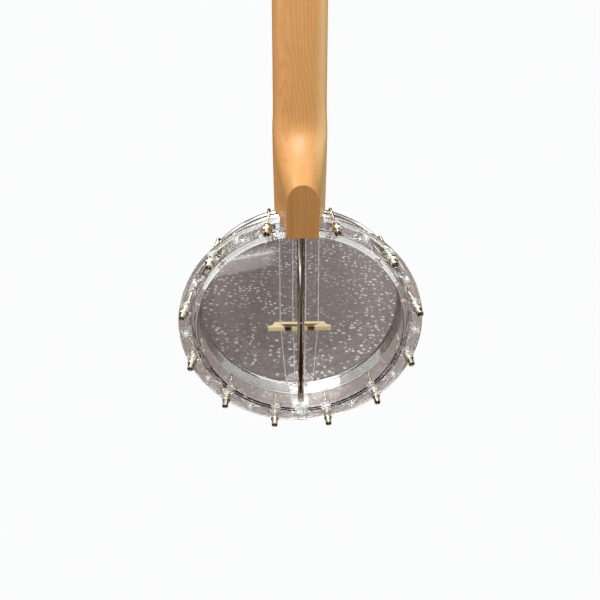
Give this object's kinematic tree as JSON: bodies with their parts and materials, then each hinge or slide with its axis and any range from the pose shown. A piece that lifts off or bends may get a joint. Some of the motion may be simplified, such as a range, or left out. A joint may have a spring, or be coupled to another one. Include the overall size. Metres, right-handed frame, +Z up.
{
  "type": "banjo ukulele",
  "caption": "Upright banjo ukulele with a clear open-backed pot, clear drum head, maple neck and geared tuners.",
  "frame": {"origin": "lowest point of the pot, half way through its depth, where a stand's cradle carries it", "axes": "+Z up along the neck, +Y out of the pot's open back, -Y out of the drum head, +X to the right seen from the front"},
  "size_m": [0.2224, 0.0814, 0.5795],
  "materials": {
    "clear_plastic": "clear polycarbonate, polished",
    "head_film": "clear glossy drum film",
    "flesh_hoop_metal": "satin",
    "hoop_chrome": "polished plating",
    "hook_nickel": "warm nickel plating",
    "nut_nickel": "nickel plating with light wear",
    "rod_chrome": "polished plating",
    "fastener_steel": "zinc-plated steel",
    "neck_maple": "satin varnished maple",
    "bridge_maple": "bare pale maple",
    "fingerboard_wood": "dark close-grained wood, oiled",
    "nut_bone": "bone white",
    "string_nylon": "clear-white nylon",
    "tuner_nickel": "nickel plating",
    "button_cream": "cream moulded plastic"
  },
  "bodies": {
    "root": {"rim": "clear_plastic", "head": "head_film", "flesh_hoop": "flesh_hoop_metal", "tension_hoop": "hoop_chrome", "tailpiece": "clear_plastic", "bridge": "bridge_maple", "neck": "neck_maple", "fingerboard": "fingerboard_wood", "string_nut": "nut_bone", "coordinator_rod": "rod_chrome", "rod_neck_nut": "fastener_steel", "rod_tail_nut": "fastener_steel", "neck_lag_bolt": "fastener_steel", "tail_bolt": "fastener_steel", "tail_washer": "rod_chrome", "string_1": "string_nylon", "string_2": "string_nylon", "string_3": "string_nylon", "string_4": "string_nylon", "hook_01": "hook_nickel", "hook_02": "hook_nickel", "hook_03": "hook_nickel", "hook_04": "hook_nickel", "hook_05": "hook_nickel", "hook_06": "hook_nickel", "hook_07": "hook_nickel", "hook_08": "hook_nickel", "hook_09": "hook_nickel", "hook_10": "hook_nickel", "hook_11": "hook_nickel", "hook_12": "hook_nickel", "tuner_1_plate": "tuner_nickel", "tuner_1_bushing": "tuner_nickel", "tuner_2_plate": "tuner_nickel", "tuner_2_bushing": "tuner_nickel", "tuner_3_plate": "tuner_nickel", "tuner_3_bushing": "tuner_nickel", "tuner_4_plate": "tuner_nickel", "tuner_4_bushing": "tuner_nickel"},
    "bracket_nut_01": {"bracket_nut_01": "nut_nickel"},
    "bracket_nut_02": {"bracket_nut_02": "nut_nickel"},
    "bracket_nut_03": {"bracket_nut_03": "nut_nickel"},
    "bracket_nut_04": {"bracket_nut_04": "nut_nickel"},
    "bracket_nut_05": {"bracket_nut_05": "nut_nickel"},
    "bracket_nut_06": {"bracket_nut_06": "nut_nickel"},
    "bracket_nut_07": {"bracket_nut_07": "nut_nickel"},
    "bracket_nut_08": {"bracket_nut_08": "nut_nickel"},
    "bracket_nut_09": {"bracket_nut_09": "nut_nickel"},
    "bracket_nut_10": {"bracket_nut_10": "nut_nickel"},
    "bracket_nut_11": {"bracket_nut_11": "nut_nickel"},
    "bracket_nut_12": {"bracket_nut_12": "nut_nickel"},
    "tuner_1_knob": {"tuner_1_knob": "button_cream"},
    "tuner_1_post": {"tuner_1_post": "tuner_nickel"},
    "tuner_2_knob": {"tuner_2_knob": "button_cream"},
    "tuner_2_post": {"tuner_2_post": "tuner_nickel"},
    "tuner_3_knob": {"tuner_3_knob": "button_cream"},
    "tuner_3_post": {"tuner_3_post": "tuner_nickel"},
    "tuner_4_knob": {"tuner_4_knob": "button_cream"},
    "tuner_4_post": {"tuner_4_post": "tuner_nickel"}
  },
  "joints": [
    {"name": "bracket_nut_01_turn", "type": "hinge", "parent": "root", "child": "bracket_nut_01", "pos_m": [0.02744, 0.0201, 0.21359], "axis": [0, 1, 0], "continuous": true},
    {"name": "bracket_nut_02_turn", "type": "hinge", "parent": "root", "child": "bracket_nut_02", "pos_m": [0.07495, 0.0201, 0.18615], "axis": [0, 1, 0], "continuous": true},
    {"name": "bracket_nut_03_turn", "type": "hinge", "parent": "root", "child": "bracket_nut_03", "pos_m": [0.10239, 0.0201, 0.13864], "axis": [0, 1, 0], "continuous": true},
    {"name": "bracket_nut_04_turn", "type": "hinge", "parent": "root", "child": "bracket_nut_04", "pos_m": [0.10239, 0.0201, 0.08377], "axis": [0, 1, 0], "continuous": true},
    {"name": "bracket_nut_05_turn", "type": "hinge", "parent": "root", "child": "bracket_nut_05", "pos_m": [0.07495, 0.0201, 0.03625], "axis": [0, 1, 0], "continuous": true},
    {"name": "bracket_nut_06_turn", "type": "hinge", "parent": "root", "child": "bracket_nut_06", "pos_m": [0.02744, 0.0201, 0.00881], "axis": [0, 1, 0], "continuous": true},
    {"name": "bracket_nut_07_turn", "type": "hinge", "parent": "root", "child": "bracket_nut_07", "pos_m": [-0.02744, 0.0201, 0.00881], "axis": [0, 1, 0], "continuous": true},
    {"name": "bracket_nut_08_turn", "type": "hinge", "parent": "root", "child": "bracket_nut_08", "pos_m": [-0.07495, 0.0201, 0.03625], "axis": [0, 1, 0], "continuous": true},
    {"name": "bracket_nut_09_turn", "type": "hinge", "parent": "root", "child": "bracket_nut_09", "pos_m": [-0.10239, 0.0201, 0.08377], "axis": [0, 1, 0], "continuous": true},
    {"name": "bracket_nut_10_turn", "type": "hinge", "parent": "root", "child": "bracket_nut_10", "pos_m": [-0.10239, 0.0201, 0.13864], "axis": [0, 1, 0], "continuous": true},
    {"name": "bracket_nut_11_turn", "type": "hinge", "parent": "root", "child": "bracket_nut_11", "pos_m": [-0.07495, 0.0201, 0.18615], "axis": [0, 1, 0], "continuous": true},
    {"name": "bracket_nut_12_turn", "type": "hinge", "parent": "root", "child": "bracket_nut_12", "pos_m": [-0.02744, 0.0201, 0.21359], "axis": [0, 1, 0], "continuous": true},
    {"name": "tuner_1_turn", "type": "hinge", "parent": "root", "child": "tuner_1_knob", "pos_m": [-0.019, -0.00524, 0.50969], "axis": [-1, 0, 0], "continuous": true},
    {"name": "tuner_1_wind", "type": "hinge", "parent": "root", "child": "tuner_1_post", "pos_m": [-0.019, -0.0219, 0.50562], "axis": [0, -0.9848, 0.1736], "continuous": true},
    {"name": "tuner_2_turn", "type": "hinge", "parent": "root", "child": "tuner_2_knob", "pos_m": [-0.019, 0.0017, 0.54908], "axis": [-1, 0, 0], "continuous": true},
    {"name": "tuner_2_wind", "type": "hinge", "parent": "root", "child": "tuner_2_post", "pos_m": [-0.019, -0.01495, 0.54502], "axis": [0, -0.9848, 0.1736], "continuous": true},
    {"name": "tuner_3_turn", "type": "hinge", "parent": "root", "child": "tuner_3_knob", "pos_m": [0.019, 0.0017, 0.54908], "axis": [1, 0, 0], "continuous": true},
    {"name": "tuner_3_wind", "type": "hinge", "parent": "root", "child": "tuner_3_post", "pos_m": [0.019, -0.01495, 0.54502], "axis": [0, -0.9848, 0.1736], "continuous": true},
    {"name": "tuner_4_turn", "type": "hinge", "parent": "root", "child": "tuner_4_knob", "pos_m": [0.019, -0.00524, 0.50969], "axis": [1, 0, 0], "continuous": true},
    {"name": "tuner_4_wind", "type": "hinge", "parent": "root", "child": "tuner_4_post", "pos_m": [0.019, -0.0219, 0.50562], "axis": [0, -0.9848, 0.1736], "continuous": true}
  ],
  "couplings": [
    {"joint": "tuner_1_wind", "follows": "tuner_1_turn", "ratio": 0.071429},
    {"joint": "tuner_2_wind", "follows": "tuner_2_turn", "ratio": 0.071429},
    {"joint": "tuner_3_wind", "follows": "tuner_3_turn", "ratio": 0.071429},
    {"joint": "tuner_4_wind", "follows": "tuner_4_turn", "ratio": 0.071429}
  ]
}
